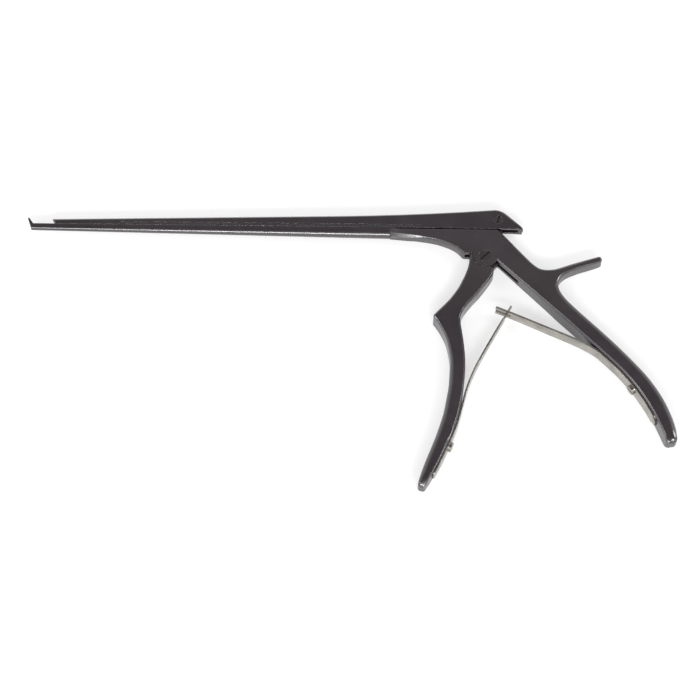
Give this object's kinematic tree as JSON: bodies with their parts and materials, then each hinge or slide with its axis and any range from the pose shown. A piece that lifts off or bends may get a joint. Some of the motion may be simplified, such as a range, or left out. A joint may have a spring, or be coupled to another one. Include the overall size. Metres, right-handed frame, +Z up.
{
  "type": "bone rongeur",
  "caption": "Straight bone punch whose sliding shaft bites up against a hooked footplate when a spring-returned trigger is squeezed.",
  "frame": {"origin": "middle of the outer box, on the flat side that lies on the table", "axes": "+X from the jaws to the hand along the shaft, +Y from the handles to the sliding shaft, +Z up, through the thickness"},
  "size_m": [0.298, 0.1402, 0.01],
  "materials": {
    "blackened_steel": "dark satin anti-glare coating",
    "screw_steel": "dark satin",
    "spring_steel": "ground and polished"
  },
  "bodies": {
    "frame": {"fixed_frame": "blackened_steel", "pivot_screw": "screw_steel", "rear_leaf_spring": "spring_steel", "rear_spring_screw": "spring_steel"},
    "trigger": {"trigger_handle": "blackened_steel", "front_leaf_spring": "spring_steel", "front_spring_screw": "spring_steel"},
    "slide": {"sliding_shaft": "blackened_steel", "drive_screw": "screw_steel"}
  },
  "joints": [
    {"name": "trigger_pivot", "type": "hinge", "parent": "frame", "child": "trigger", "pos_m": [0.06361, 0.04554, 0.005], "axis": [0, 0, 1], "range_deg": [0, 30.5], "stiffness_Nm_per_rad": 1, "springref_deg": -14.32, "deforming": ["rear_leaf_spring", "front_leaf_spring"]},
    {"name": "shaft_slide", "type": "slide", "parent": "frame", "child": "slide", "axis": [-1, 0, 0], "range_m": [0, 0.0105]}
  ],
  "couplings": [
    {"joint": "shaft_slide", "follows": "trigger_pivot", "m_per_rad": 0.01972}
  ]
}
